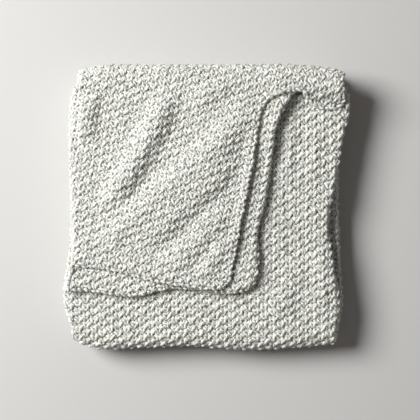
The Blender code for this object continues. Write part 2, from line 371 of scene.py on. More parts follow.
def ridge_height(table, x, y):
    """Height of a table's soft ridges at a place in plan."""
    total = 0.0
    for x_start, y_start, x_end, y_end, bow, height, half_width in table:
        run_x = (x_end - x_start) * MM
        run_y = (y_end - y_start) * MM
        length = math.hypot(run_x, run_y)
        from_x = x - x_start * MM
        from_y = y - y_start * MM
        share = (from_x * run_x + from_y * run_y) / length ** 2
        offset = (from_x * run_y - from_y * run_x) / length
        offset -= 4.0 * bow * MM * share * (1.0 - share)
        if 0.0 < share < 1.0 and abs(offset) < half_width * MM:
            crown = 0.5 + 0.5 * math.cos(math.pi * offset / (half_width * MM))
            fade = ease(share / RIDGE_FADE) * ease((1.0 - share) / RIDGE_FADE)
            total += height * MM * crown * fade
    return total


def pass_point(number, level, across, bulge, along):
    """Place in space of a point on a pass."""
    x, y = plan(number, level, across, along)
    if bulge:
        reach = abs(bulge) * (PITCH / 2 + FOLD_SLACK)
        direction = fold_direction(number, bulge, level, across, along)
        x += reach * direction[0]
        y += reach * direction[1]
    outer_up = 1.0 if number % 2 else -1.0
    z = CLOTH / 2 + PITCH * (SHEETS * number + 1.0 + outer_up * level)
    if number == FLAP:
        top_only = max(level, 0.0) * ease(along / RIDGE_START)
        z += ridge_height(FLAP_RIDGES, x, y) * top_only
        z += ridge_height(FLAP_LIFTS, x, y)
        tongue = max(level, 0.0) * ease((x - TONGUE_LEFT) / TONGUE_BLEND)
        z -= TONGUE_DROP * tongue * ease((TONGUE_TOP - y) / TONGUE_RUN)
    elif number == FLAP - 1:
        z += ridge_height(BASE_RIDGES, x, y) * max(-level, 0.0)
    return x, y, z


def turn_point(number, level, across, bulge, angle):
    """Place in space of a point on the turn above a pass."""
    at_back = number % 2 == 0
    end = 0.0 if at_back else 1.0
    below = plan(number, level, across, end)
    above = plan(number + 1, level, across, end)
    x = mix(below[0], above[0], ease(angle / math.pi))
    y = mix(below[1], above[1], ease(angle / math.pi))
    x += bulge * (PITCH / 2 + FOLD_SLACK)
    outward = 1.0 if at_back else -1.0
    radius = PITCH * (SHEETS / 2 + outward * level)
    y += outward * (radius + FOLD_SLACK) * math.sin(angle)
    middle = CLOTH / 2 + PITCH * (SHEETS * number + SHEETS - 0.5)
    return x, y, middle - radius * math.cos(angle)


def columns():
    """Level, place across and bulge of each column of the mesh, free edge to free edge."""
    places = stations(OUTER_STEPS, OUTER_CLOSER)
    listed = [(OUTER, 1.0 - place, 0.0) for place in places]
    for step in range(1, FOLD_STEPS):
        angle = math.pi * step / FOLD_STEPS
        listed.append((0.5 + 0.5 * math.cos(angle), 0.0, -math.sin(angle)))
    listed += [(MIDDLE, place, 0.0) for place in stations(MIDDLE_STEPS, LOWER_CLOSER)]
    for step in range(1, FOLD_STEPS):
        angle = math.pi * step / FOLD_STEPS
        listed.append((-0.5 + 0.5 * math.cos(angle), 1.0, math.sin(angle)))
    places = stations(INNER_STEPS, LOWER_CLOSER)
    listed += [(INNER, 1.0 - place, 0.0) for place in places]
    return listed


def rows():
    """Function, pass and place along it of each row of the mesh, bottom pass first."""
    listed = []
    for number in range(PASSES):
        places = stations(PASS_STEPS[number], ROWS_CLOSER)
        if number % 2 == 0:
            places.reverse()
        listed += [(pass_point, number, place) for place in places]
        if number < FLAP:
            for step in range(1, TURN_STEPS):
                listed.append((turn_point, number, math.pi * step / TURN_STEPS))
    return listed


# Marks in the lists of columns and rows
OUTER_END = OUTER_STEPS
MIDDLE_START = OUTER_END + FOLD_STEPS
MIDDLE_END = MIDDLE_START + MIDDLE_STEPS
INNER_START = MIDDLE_END + FOLD_STEPS
INNER_END = INNER_START + INNER_STEPS

# How far the yarn's middle lies above the cloth's middle, for measuring along a fold
YARN_LEVEL = 2.5 * MM
# A place shows if a straight line out of it, or one of four slanted ones, meets no cloth
LOOK_FROM = 1.9 * MM
LOOK_AS_FAR_AS = 0.3
LOOK_SLANT = 0.8


class BlanketYarn(bpy.types.PropertyGroup):
    """Sizes and colours of the yarn and its stitches."""

    stitch_width: FloatProperty(
        name="Stitch width",
        description="Width of one stitch along its row",
        default=13.0 * MM,
        unit="LENGTH",
    )
    row_height: FloatProperty(
        name="Row height",
        description="Distance from one row of stitches to the next",
        default=7.0 * MM,
        unit="LENGTH",
    )
    loop_reach: FloatProperty(
        name="Loop reach",
        description="How far a loop reaches above and below the middle of its row",
        default=4.4 * MM,
        unit="LENGTH",
    )
    loop_slant: FloatProperty(
        name="Loop slant",
        description="Angle in a loop's turn by which its head leans to the right",
        default=0.28,
    )
    loop_bulge: FloatProperty(
        name="Loop bulge",
        description="How much wider a loop's head is than its neck, as a share of the width",
        default=0.03,
    )
    head_depth: FloatProperty(
        name="Head depth",
        description="How far the heads of the front loops stand out",
        default=1.5 * MM,
        unit="LENGTH",
    )
    leg_depth: FloatProperty(
        name="Leg depth",
        description="How far the legs of the front loops stand out",
        default=0.5 * MM,
        unit="LENGTH",
    )
    head_swell: FloatProperty(
        name="Head swell",
        description="How much thicker the yarn is at the heads of the front loops",
        default=0.22,
    )
    lift: FloatProperty(
        name="Lift",
        description="Height of the stitches' middle above the cloth's middle",
        default=1.4 * MM,
        unit="LENGTH",
    )
    thickness: FloatProperty(
        name="Yarn thickness",
        description="Diameter of the yarn",
        default=5.0 * MM,
        unit="LENGTH",
    )
    ply_length: FloatProperty(
        name="Ply length",
        description="Length of yarn in which its plies turn once round each other",
        default=14.0 * MM,
        unit="LENGTH",
    )
    unevenness: FloatProperty(
        name="Unevenness",
        description="How far hand-made loops stray from their places",
        default=3.0 * MM,
        unit="LENGTH",
    )
    points: IntProperty(
        name="Points in a stitch",
        description="Points of the yarn's line in one stitch",
        default=10,
        min=6,
    )
    sides: IntProperty(
        name="Sides",
        description="Sides of the yarn's round section",
        default=6,
        min=4,
    )
    light: FloatVectorProperty(
        name="Light ply",
        description="Colour of the yarn's off-white ply",
        subtype="COLOR",
        default=(0.87, 0.875, 0.81),
    )
    dark: FloatVectorProperty(
        name="Grey ply",
        description="Colour of the yarn's grey ply",
        subtype="COLOR",
        default=(0.35, 0.355, 0.325),
    )


class BlanketCloth(bpy.types.PropertyGroup):
    """Sizes of the thin cloth that carries the stitches."""

    core: FloatProperty(
        name="Cloth thickness",
        description="Thickness of the cloth between the loops of its two faces",
        default=2.4 * MM,
        unit="LENGTH",
    )
    edge_pitch: FloatProperty(
        name="Edge pitch",
        description="Length of edge taken by one turn of its yarn",
        default=10.0 * MM,
        unit="LENGTH",
    )
    edge_reach: FloatProperty(
        name="Edge reach",
        description="How far the edge's yarn lies from the line of the edge",
        default=1.3 * MM,
        unit="LENGTH",
    )
    edge_yarn: FloatProperty(
        name="Edge yarn",
        description="Diameter of the yarn along the edges",
        default=5.4 * MM,
        unit="LENGTH",
    )


class BlanketStudio(bpy.types.PropertyGroup):
    """The floor, the lamps and the camera."""

    floor: FloatVectorProperty(
        name="Floor",
        description="Colour of the floor",
        subtype="COLOR",
        default=(0.60, 0.592, 0.575),
    )
    lamp: FloatProperty(
        name="Lamp",
        description="Power of the large soft lamp at the upper left",
        default=160.0,
        unit="POWER",
    )
    sky: FloatProperty(
        name="Sky",
        description="Strength of the even light from all round",
        default=0.12,
    )
    camera_height: FloatProperty(
        name="Camera height",
        description="Height of the camera above the floor",
        default=1.85,
        unit="LENGTH",
    )
    camera_lens: FloatProperty(
        name="Camera lens",
        description="Focal length that gives the photograph's frame",
        default=95.5,
    )


class Graph:
    """Adds nodes to a tree and links them."""

    def __init__(self, tree):
        self.tree = tree

    def node(self, kind, *values, **settings):
        """A node with its settings, each input linked to a socket or given a value."""
        node = self.tree.nodes.new(kind)
        for name, value in settings.items():
            setattr(node, name, value)
        sockets = [socket for socket in node.inputs if socket.enabled]
        for socket, value in zip(sockets, values):
            if isinstance(value, bpy.types.NodeSocket):
                self.tree.links.new(value, socket)
            elif value is not None:
                socket.default_value = value
        return node

    def first(self, kind, *values, **settings):
        """The first output that is in use on a new node."""
        outputs = self.node(kind, *values, **settings).outputs
        return next(socket for socket in outputs if socket.enabled)

    def math(self, operation, *values):
        """The result of a sum on numbers."""
        return self.first("ShaderNodeMath", *values, operation=operation)

    def vector(self, operation, *values):
        """The result of a sum on vectors."""
        node = self.node("ShaderNodeVectorMath", operation=operation)
        if operation == "SCALE":
            self.fill(node.inputs["Vector"], values[0])
            self.fill(node.inputs["Scale"], values[1])
        else:
            for socket, value in zip(node.inputs, values):
                self.fill(socket, value)
        return node.outputs["Vector"]

    def fill(self, socket, value):
        """Link a socket, or give it a value."""
        if isinstance(value, bpy.types.NodeSocket):
            self.tree.links.new(value, socket)
        else:
            socket.default_value = value

    def attribute(self, name, kind):
        """A named attribute of the geometry."""
        return self.first("GeometryNodeInputNamedAttribute", name, data_type=kind)


def new_tree(name, inputs):
    """A Geometry Nodes tree with named inputs, as a graph and its sockets by name."""
    tree = bpy.data.node_groups.new(name, "GeometryNodeTree")
    tree.interface.new_socket(
        name="Geometry", in_out="INPUT", socket_type="NodeSocketGeometry"
    )
    tree.interface.new_socket(
        name="Geometry", in_out="OUTPUT", socket_type="NodeSocketGeometry"
    )
    for label, kind in inputs:
        tree.interface.new_socket(
            name=label, in_out="INPUT", socket_type="NodeSocket" + kind
        )
    graph = Graph(tree)
    sockets = {socket.name: socket for socket in graph.node("NodeGroupInput").outputs}
    return graph, sockets


def finish_tree(graph, geometry, material):
    """End a tree with real, smooth faces of one material."""
    real = graph.first("GeometryNodeRealizeInstances", geometry)
    smooth = graph.first("GeometryNodeSetShadeSmooth", real, True, True)
    painted = graph.first("GeometryNodeSetMaterial", smooth, True, material)
    graph.node("NodeGroupOutput", painted)
    return graph.tree


def grow(carrier, tree, values, name):
    """Plain mesh object that a tree grows on a carrier, which is then removed."""
    modifier = carrier.modifiers.new(tree.name, "NODES")
    modifier.node_group = tree
    for item in tree.interface.items_tree:
        if item.in_out == "INPUT" and item.name in values:
            modifier[item.identifier] = values[item.name]
    carrier.update_tag()
    bpy.context.view_layer.update()
    depsgraph = bpy.context.evaluated_depsgraph_get()
    mesh = bpy.data.meshes.new_from_object(
        carrier.evaluated_get(depsgraph), preserve_all_data_layers=True, depsgraph=depsgraph
    )
    mesh.name = name
    piece = bpy.data.objects.new(name, mesh)
    bpy.context.scene.collection.objects.link(piece)
    bpy.data.objects.remove(carrier)
    return piece


@functools.cache
def cloth_points():
    """Places of the whole sheet's middle, by row and column."""
    across = columns()
    places = []
    for place, number, station in rows():
        places.append([place(number, *column, station) for column in across])
    return np.array(places) + np.array(TO_MIDDLE)


@functools.cache
def cloth_outward():
    """Unit vectors out of the face that shows on top of the flap, by row and column."""
    points = cloth_points()
    across = np.gradient(points, axis=1)
    along = np.gradient(points, axis=0)
    outward = np.cross(across, along)
    return outward / np.linalg.norm(outward, axis=2, keepdims=True)


@functools.cache
def cloth_tree():
    """Search tree of the whole sheet, to tell which of its places show."""
    points = cloth_points()
    tall, wide = points.shape[:2]
    return BVHTree.FromPolygons(points.reshape(-1, 3).tolist(), quads(tall, wide, True))


def quads(tall, wide, forward):
    """Faces of a grid of points."""
    faces = []
    for row in range(tall - 1):
        for column in range(wide - 1):
            low = row * wide + column
            face = (low, low + 1, low + wide + 1, low + wide)
            faces.append(face if forward else face[::-1])
    return faces


def row_start(number):
    """Index of the first row of a pass."""
    return sum(PASS_STEPS[:number]) + TURN_STEPS * number


def row_end(number):
    """Index of the last row of a pass."""
    return row_start(number) + PASS_STEPS[number]


def shows(place, outward):
    """Whether a place on the cloth is open to the air on that side."""
    start = Vector(place) + LOOK_FROM * Vector(outward)
    side = Vector(outward).orthogonal().normalized()
    other = Vector(outward).cross(side)
    ways = [Vector(outward)]
    for slant in (side, -side, other, -other):
        ways.append((Vector(outward) + LOOK_SLANT * slant).normalized())
    return any(cloth_tree().ray_cast(start, way, LOOK_AS_FAR_AS)[0] is None for way in ways)


def spread(mask, steps):
    """A mask of places, grown by some steps to all sides."""
    for _ in range(steps):
        grown = mask.copy()
        grown[1:] |= mask[:-1]
        grown[:-1] |= mask[1:]
        grown[:, 1:] |= mask[:, :-1]
        grown[:, :-1] |= mask[:, 1:]
        mask = grown
    return mask


def unrolled(points, flat_rows, flat_columns):
    """Plan of a patch with its turns and folds laid flat, in metres."""
    x = points[:, :, 0].copy()
    y = points[:, :, 1].copy()
    tall, wide = x.shape
    first, last = flat_rows
    down = np.sign(y[last].mean() - y[first].mean())
    for row in range(first - 1, -1, -1):
        gap = np.linalg.norm(points[row] - points[row + 1], axis=1)
        x[row] = x[row + 1]
        y[row] = y[row + 1] - down * gap
    for row in range(last + 1, tall):
        gap = np.linalg.norm(points[row] - points[row - 1], axis=1)
        x[row] = x[row - 1]
        y[row] = y[row - 1] + down * gap
    first, last = flat_columns
    right = np.sign(x[:, last].mean() - x[:, first].mean())
    for column in range(first - 1, -1, -1):
        gap = np.linalg.norm(points[:, column] - points[:, column + 1], axis=1)
        x[:, column] = x[:, column + 1] - right * gap
        y[:, column] = y[:, column + 1]
    for column in range(last + 1, wide):
        gap = np.linalg.norm(points[:, column] - points[:, column - 1], axis=1)
        x[:, column] = x[:, column - 1] + right * gap
        y[:, column] = y[:, column - 1]
    return x, y


def combed(x, y):
    """Rows of a flat plan, each that has slipped past the next one put back between."""
    y = y.copy()
    for row in range(1, len(y) - 1):
        levels = []
        for near in (row - 1, row + 1):
            order = np.argsort(x[near])
            level = np.interp(x[row], x[near][order], y[near][order], left=np.nan, right=np.nan)
            levels.append(level)
        behind, ahead = levels
        slipped = (y[row] - ahead) * (behind - ahead) < 0.15 * (behind - ahead) ** 2
        y[row] = np.where(slipped, (behind + ahead) / 2, y[row])
    return y


def carrier_patch(name, row_range, column_range, flat_rows, flat_columns, face, turn, margin=2):
    """Part of the cloth that stitches grow on, with its flat plan as a UV map in metres.

    The ranges are first and last indices, the flat ones those where the cloth lies flat. face
    is 1 for the side on top of the flap and -1 for the other, and turn is the stitches' angle.
    """
    rows_cut = slice(row_range[0], row_range[1] + 1)
    columns_cut = slice(column_range[0], column_range[1] + 1)
    points = cloth_points()[rows_cut, columns_cut]
    outward = face * cloth_outward()[rows_cut, columns_cut]
    near_rows = (flat_rows[0] - row_range[0], flat_rows[1] - row_range[0])
    near_columns = (flat_columns[0] - column_range[0], flat_columns[1] - column_range[0])
    x, y = unrolled(points + YARN_LEVEL * outward, near_rows, near_columns)
    y = combed(x, y)
    flat_x = math.cos(turn) * x - math.sin(turn) * y
    flat_y = math.sin(turn) * x + math.cos(turn) * y
    tall, wide = x.shape
    shown = np.array(
        [[shows(points[row, column], outward[row, column]) for column in range(wide)] for row in range(tall)]
    )
    shown = spread(shown, margin)
    last_row, last_column = (count - 1 for count in cloth_points().shape[:2])
    shown[0] &= row_range[0] > 0
    shown[-1] &= row_range[1] < last_row
    shown[:, 0] &= column_range[0] > 0
    shown[:, -1] &= column_range[1] < last_column
    mesh = bpy.data.meshes.new(name)
    mesh.from_pydata(points.reshape(-1, 3).tolist(), [], quads(tall, wide, face > 0))
    for label, values in (("place", points), ("outward", outward)):
        layer = mesh.attributes.new(label, "FLOAT_VECTOR", "POINT")
        layer.data.foreach_set("vector", values.astype(np.float32).ravel())
    layer = mesh.attributes.new("shown", "FLOAT", "POINT")
    layer.data.foreach_set("value", shown.astype(np.float32).ravel())
    corners = np.empty(len(mesh.loops), np.int32)
    mesh.loops.foreach_get("vertex_index", corners)
    flat = np.stack([flat_x.ravel(), flat_y.ravel()], axis=1)[corners]
    mesh.uv_layers.new(name="flat").data.foreach_set("uv", flat.astype(np.float32).ravel())
    carrier = bpy.data.objects.new(name, mesh)
    bpy.context.scene.collection.objects.link(carrier)
    return carrier, flat


def stray(graph, place, scale, amount):
    """Smooth random vector, up to about an amount each way."""
    noise = graph.node("ShaderNodeTexNoise", place, noise_dimensions="3D")
    noise.inputs["Scale"].default_value = scale
    noise.inputs["Detail"].default_value = 1.0
    middle = graph.vector("SUBTRACT", noise.outputs["Color"], (0.5, 0.5, 0.5))
    return graph.vector("SCALE", middle, graph.math("MULTIPLY", amount, 2.0))


def tube(graph, line, thickness, sides, swell):
    """Yarn round a line, with its length and its way round kept for the material."""
    along = graph.node("GeometryNodeSplineParameter").outputs["Length"]
    line = graph.first(
        "GeometryNodeStoreNamedAttribute", line, True, "along", along, data_type="FLOAT"
    )
    radius = graph.math("DIVIDE", thickness, 2.0)
    ring = graph.node("GeometryNodeCurvePrimitiveCircle", mode="RADIUS")
    graph.fill(ring.inputs["Resolution"], sides)
    graph.fill(ring.inputs["Radius"], radius)
    place = graph.vector("NORMALIZE", graph.first("GeometryNodeInputPosition"))
    ring = graph.first(
        "GeometryNodeStoreNamedAttribute",
        ring.outputs["Curve"],
        True,
        "around",
        place,
        data_type="FLOAT_VECTOR",
    )
    yarn = graph.first("GeometryNodeCurveToMesh", line, ring, swell, True)
    return rested(graph, yarn)


# Height below which the blanket's weight presses the yarn flat
PRESS_HEIGHT = 1.2 * MM


def rested(graph, yarn):
    """Yarn pressed flat where it would pass through the floor."""
    place = graph.node("ShaderNodeSeparateXYZ", graph.first("GeometryNodeInputPosition"))
    height = place.outputs[2]
    power = graph.math("SUBTRACT", graph.math("DIVIDE", height, PRESS_HEIGHT), 1.0)
    squashed = graph.math("MULTIPLY", graph.math("EXPONENT", power), PRESS_HEIGHT)
    pressed = graph.first(
        "ShaderNodeCombineXYZ", place.outputs[0], place.outputs[1], squashed
    )
    low = graph.first(
        "FunctionNodeCompare", height, PRESS_HEIGHT, data_type="FLOAT", operation="LESS_THAN"
    )
    return graph.first("GeometryNodeSetPosition", yarn, low, pressed)


# How far the yarn's cut ends dive below the cloth's middle, and how thin they get there
END_DEPTH = 1.2 * MM
END_SHARE = 0.3
# Shares of a patch's mask at which the yarn is cut and at which it has its full height
CUT_AT = 0.15
FULL_AT = 0.5


@functools.cache
def stitch_tree():
    """Rows of seed stitch on a patch: every other loop lies in front, and rows alternate."""
    graph, given = new_tree(
        "seed_stitch",
        [
            ("Start X", "Float"),
            ("Start Y", "Float"),
            ("Stitches", "Int"),
            ("Rows", "Int"),
            ("Stitch Width", "Float"),
            ("Row Height", "Float"),
            ("Loop Reach", "Float"),
            ("Loop Slant", "Float"),
            ("Loop Bulge", "Float"),
            ("Head Depth", "Float"),
            ("Leg Depth", "Float"),
            ("Head Swell", "Float"),
            ("Lift", "Float"),
            ("Thickness", "Float"),
            ("Unevenness", "Float"),
            ("Points", "Int"),
            ("Sides", "Int"),
            ("Yarn", "Material"),
        ],
    )
    width = given["Stitch Width"]
    step = graph.math("DIVIDE", width, given["Points"])
    count = graph.math("ADD", graph.math("MULTIPLY", given["Stitches"], given["Points"]), 1.0)
    start = graph.first("ShaderNodeCombineXYZ", given["Start X"], given["Start Y"], 0.0)
    row = graph.first(
        "GeometryNodeMeshLine",
        count,
        (0.0, 0.0, 0.0),
        graph.first("ShaderNodeCombineXYZ", step, 0.0, 0.0),
        mode="OFFSET",
    )
    starts = graph.first(
        "GeometryNodeMeshLine",
        given["Rows"],
        start,
        graph.first("ShaderNodeCombineXYZ", 0.0, given["Row Height"], 0.0),
        mode="OFFSET",
    )
    rows_of_line = graph.first("GeometryNodeInstanceOnPoints", starts, True, row)
    lines = graph.first("GeometryNodeRealizeInstances", rows_of_line)

    place = graph.node("ShaderNodeSeparateXYZ", graph.first("GeometryNodeInputPosition"))
    phase = graph.math("MULTIPLY", graph.math("DIVIDE", place.outputs[0], width), 2.0 * math.pi)
    row_number = graph.math("ROUND", graph.math("DIVIDE", place.outputs[1], given["Row Height"]))
    parity = graph.math("COSINE", graph.math("MULTIPLY", row_number, math.pi))
    front = graph.math("MULTIPLY", parity, graph.math("SINE", graph.math("MULTIPLY", phase, 0.5)))
    leaning = graph.math("ADD", phase, given["Loop Slant"])
    head = graph.math("MULTIPLY", graph.math("COSINE", leaning), -1.0)
    bulge = graph.math("SINE", graph.math("MULTIPLY", phase, 2.0))
    bulge = graph.math("MULTIPLY", bulge, graph.math("MULTIPLY", given["Loop Bulge"], width))
    leaning = graph.math("COSINE", graph.math("SUBTRACT", phase, given["Loop Slant"]))
    rise = graph.math("MULTIPLY", leaning, given["Loop Reach"])
    x = graph.math("ADD", place.outputs[0], bulge)
    y = graph.math("SUBTRACT", place.outputs[1], rise)
    flat = graph.first("ShaderNodeCombineXYZ", x, y, 0.0)
    seed = graph.first("ShaderNodeCombineXYZ", x, y, graph.math("MULTIPLY", row_number, 0.011))
    strayed = graph.node("ShaderNodeSeparateXYZ", stray(graph, seed, 125.0, given["Unevenness"]))
    moved = graph.first("ShaderNodeCombineXYZ", strayed.outputs[0], strayed.outputs[1], 0.0)
    flat = graph.vector("ADD", flat, moved)
    depth = graph.math("MULTIPLY", given["Head Depth"], head)
    depth = graph.math("MULTIPLY", graph.math("ADD", depth, given["Leg Depth"]), front)
    out = graph.math("ADD", given["Lift"], depth)
    out = graph.math("ADD", out, graph.math("MULTIPLY", strayed.outputs[2], 0.5))
    swell = graph.math("MAXIMUM", graph.math("MULTIPLY", head, front), 0.0)
    swell = graph.math("MULTIPLY", swell, given["Head Swell"])

    def sampled(name, kind):
        value = graph.attribute(name, kind)
        uv = graph.attribute("flat", "FLOAT_VECTOR")
        return graph.first(
            "GeometryNodeSampleUVSurface", given["Geometry"], value, uv, flat, data_type=kind
        )

    shown = graph.math("SUBTRACT", sampled("shown", "FLOAT"), CUT_AT)
    risen = graph.math("DIVIDE", shown, FULL_AT - CUT_AT)
    risen = graph.math("MINIMUM", risen, 1.0)
    out = graph.math("MULTIPLY", graph.math("ADD", out, END_DEPTH), risen)
    out = graph.math("SUBTRACT", out, END_DEPTH)
    hidden = graph.math("LESS_THAN", shown, 0.0)
    lines = graph.first("GeometryNodeDeleteGeometry", lines, hidden, domain="POINT")
    outward = graph.vector("SCALE", graph.vector("NORMALIZE", sampled("outward", "FLOAT_VECTOR")), out)
    target = graph.vector("ADD", sampled("place", "FLOAT_VECTOR"), outward)
    lines = graph.first(
        "GeometryNodeStoreNamedAttribute", lines, True, "swell", swell, data_type="FLOAT"
    )
    lines = graph.first("GeometryNodeSetPosition", lines, True, target)
    yarn = graph.first("GeometryNodeMeshToCurve", lines)
    place = graph.first("GeometryNodeInputPosition")
    slubs = graph.node("ShaderNodeTexNoise", place, noise_dimensions="3D")
    slubs.inputs["Scale"].default_value = 110.0
    slubs = graph.math("ADD", graph.math("MULTIPLY", slubs.outputs[0], 0.5), 0.75)
    slubs = graph.math("ADD", slubs, graph.attribute("swell", "FLOAT"))
    ends = graph.first("GeometryNodeCurveEndpointSelection", 1, 1)
    taper = graph.math("SUBTRACT", 1.0, graph.math("MULTIPLY", ends, 1.0 - END_SHARE))
    slubs = graph.math("MULTIPLY", slubs, taper)
    mesh = tube(graph, yarn, given["Thickness"], given["Sides"], slubs)
    return finish_tree(graph, mesh, given["Yarn"])


def stitches(name, carrier, flat, depth_share=1.0, changes=None):
    """Piece of seed stitch that covers what shows of a patch."""
    yarn = bpy.context.scene.blanket_yarn
    low = flat.min(axis=0)
    high = flat.max(axis=0)
    first = math.floor(low[0] / yarn.stitch_width)
    bottom = math.floor(low[1] / yarn.row_height)
    values = {
        "Start X": first * yarn.stitch_width,
        "Start Y": bottom * yarn.row_height,
        "Stitches": math.ceil(high[0] / yarn.stitch_width) - first,
        "Rows": math.ceil(high[1] / yarn.row_height) - bottom + 1,
        "Stitch Width": yarn.stitch_width,
        "Row Height": yarn.row_height,
        "Loop Reach": yarn.loop_reach,
        "Loop Slant": yarn.loop_slant,
        "Loop Bulge": yarn.loop_bulge,
        "Head Depth": yarn.head_depth * depth_share,
        "Leg Depth": yarn.leg_depth * depth_share,
        "Head Swell": yarn.head_swell,
        "Lift": yarn.lift * depth_share,
        "Thickness": yarn.thickness,
        "Unevenness": yarn.unevenness,
        "Points": yarn.points,
        "Sides": yarn.sides,
        "Yarn": yarn_material(),
    }
    values.update(changes or {})
    piece = grow(carrier, stitch_tree(), values, name)
    return settle(piece)


def settle(piece):
    """Let a piece ride on the blanket's body, and print its count of triangles."""
    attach(piece, BODY)
    print(piece.name, "triangles", sum(len(face.vertices) - 2 for face in piece.data.polygons))
    return piece


# Share of the yarn's length that its fibres' streaks are drawn out over
FIBRE_STRETCH = 0.3


@functools.cache
def yarn_material():
    """Marl yarn: an off-white and a grey ply wound round each other, matt and hairy."""
    look = bpy.context.scene.blanket_yarn
    material = bpy.data.materials.new("marl_yarn")
    material.use_nodes = True
    graph = Graph(material.node_tree)
    shader = material.node_tree.nodes["Principled BSDF"]
    shader.inputs["Roughness"].default_value = 0.95
    shader.inputs["Sheen Weight"].default_value = 0.25
    shader.inputs["Specular IOR Level"].default_value = 0.2
    shader.inputs["Subsurface Weight"].default_value = 0.3
    shader.inputs["Subsurface Radius"].default_value = (1.0, 0.9, 0.8)
    shader.inputs["Subsurface Scale"].default_value = 2.0 * MM

    along = graph.node("ShaderNodeAttribute", attribute_name="along").outputs["Fac"]
    around = graph.node("ShaderNodeAttribute", attribute_name="around").outputs["Vector"]
    around = graph.node("ShaderNodeSeparateXYZ", around)
    angle = graph.math("ARCTAN2", around.outputs[1], around.outputs[0])
    turns = graph.math("MULTIPLY", along, 2.0 * math.pi / look.ply_length)
    twist = graph.math("ADD", angle, turns)
    strands = graph.math("SINE", graph.math("MULTIPLY", twist, 2.0))
    fine = graph.math("SINE", graph.math("MULTIPLY", twist, 7.0))

    place = graph.node("ShaderNodeTexCoord").outputs["Object"]
    patches = graph.node("ShaderNodeTexNoise", place)
    patches.inputs["Scale"].default_value = 120.0
    reach = look.thickness / 2
    fibre = graph.first(
        "ShaderNodeCombineXYZ",
        graph.math("MULTIPLY", graph.math("COSINE", twist), reach),
        graph.math("MULTIPLY", graph.math("SINE", twist), reach),
        graph.math("MULTIPLY", along, FIBRE_STRETCH),
    )
    fibre = graph.vector("ADD", fibre, graph.vector("SCALE", patches.outputs["Color"], 0.003))
    flecks = graph.node("ShaderNodeTexNoise", fibre)
    flecks.inputs["Scale"].default_value = 700.0
    flecks.inputs["Detail"].default_value = 3.0
    share = graph.math("MULTIPLY", strands, 0.12)
    share = graph.math("ADD", share, graph.math("MULTIPLY", flecks.outputs[0], 1.4))
    share = graph.math("ADD", share, graph.math("MULTIPLY", patches.outputs[0], 0.6))
    ramp = graph.node("ShaderNodeMapRange", share)
    ramp.inputs["From Min"].default_value = 0.76
    ramp.inputs["From Max"].default_value = 1.08
    colour = graph.node("ShaderNodeMix", data_type="RGBA")
    graph.fill(colour.inputs["Factor"], ramp.outputs[0])
    colour.inputs[6].default_value = (*look.dark, 1.0)
    colour.inputs[7].default_value = (*look.light, 1.0)
    graph.tree.links.new(colour.outputs[2], shader.inputs["Base Color"])

    height = graph.math("ADD", strands, graph.math("MULTIPLY", fine, 0.35))
    height = graph.math("ADD", height, graph.math("MULTIPLY", flecks.outputs[0], 1.6))
    bump = graph.node("ShaderNodeBump")
    bump.inputs["Strength"].default_value = 0.45
    bump.inputs["Distance"].default_value = 0.5 * MM
    graph.fill(bump.inputs["Height"], height)
    graph.tree.links.new(bump.outputs[0], shader.inputs["Normal"])
    return material


@functools.cache
def cloth_material():
    """The cloth deep between the loops: the same yarn, painted a darker grey as shade that falls between the
    loops.
    """
    look = bpy.context.scene.blanket_yarn
    material = bpy.data.materials.new("painted_shade_cloth")
    material.use_nodes = True
    graph = Graph(material.node_tree)
    shader = material.node_tree.nodes["Principled BSDF"]
    shader.inputs["Roughness"].default_value = 1.0
    shader.inputs["Specular IOR Level"].default_value = 0.1
    place = graph.node("ShaderNodeTexCoord").outputs["Object"]
    fibres = graph.node("ShaderNodeTexNoise", place)
    fibres.inputs["Scale"].default_value = 380.0
    fibres.inputs["Detail"].default_value = 4.0
    # Painted shade: the cloth takes 0.4 to 1 times the grey ply's colour, darker than any yarn, to stand in
    # for the shade deep between the loops
    colour = graph.node("ShaderNodeMix", data_type="RGBA")
    graph.fill(colour.inputs["Factor"], fibres.outputs[0])
    colour.inputs[6].default_value = (*[0.4 * value for value in look.dark], 1.0)
    colour.inputs[7].default_value = (*look.dark, 1.0)
    graph.tree.links.new(colour.outputs[2], shader.inputs["Base Color"])
    bump = graph.node("ShaderNodeBump")
    bump.inputs["Strength"].default_value = 0.8
    bump.inputs["Distance"].default_value = 0.8 * MM
    graph.fill(bump.inputs["Height"], fibres.outputs[0])
    graph.tree.links.new(bump.outputs[0], shader.inputs["Normal"])
    return material


FLAP_TURN = math.radians(9.7)


class BLANKET_OT_flap(bpy.types.Operator):
    """Knit the top of the flap, its left fold and the upper back"""

    bl_idname = "blanket.flap"
    bl_label = "Flap stitches"

    def execute(self, context):
        carrier, flat = carrier_patch(
            "flap_patch",
            (row_end(FLAP - 1) - 4, row_end(FLAP)),
            (0, MIDDLE_START + 2),
            (row_start(FLAP), row_end(FLAP)),
            (0, OUTER_END),
            1,
            FLAP_TURN,
        )
        stitches("stitches_flap", carrier, flat, 0.65)
        return {"FINISHED"}


class BLANKET_OT_strip(bpy.types.Operator):
    """Knit the two lower sheets of the flap where they show"""

    bl_idname = "blanket.strip"
    bl_label = "Lower flap stitches"

    def execute(self, context):
        carrier, flat = carrier_patch(
            "strip_patch",
            (row_start(FLAP), row_end(FLAP)),
            (MIDDLE_START, INNER_START + 3),
            (row_start(FLAP), row_end(FLAP)),
            (MIDDLE_START, MIDDLE_END),
            -1,
            FLAP_TURN,
            1,
        )
        stitches("stitches_lower_flap", carrier, flat)
        return {"FINISHED"}


class BLANKET_OT_base(bpy.types.Operator):
    """Knit the base beside the flap and the round front"""

    bl_idname = "blanket.base"
    bl_label = "Base stitches"

    def execute(self, context):
        carrier, flat = carrier_patch(
            "base_patch",
            (row_end(FLAP - 2) - 4, row_end(FLAP - 1)),
            (MIDDLE_END - 3, INNER_END),
            (row_start(FLAP - 1), row_end(FLAP - 1)),
            (INNER_START, INNER_END),
            -1,
            0.0,
            1,
        )
        stitches("stitches_base", carrier, flat)
        return {"FINISHED"}


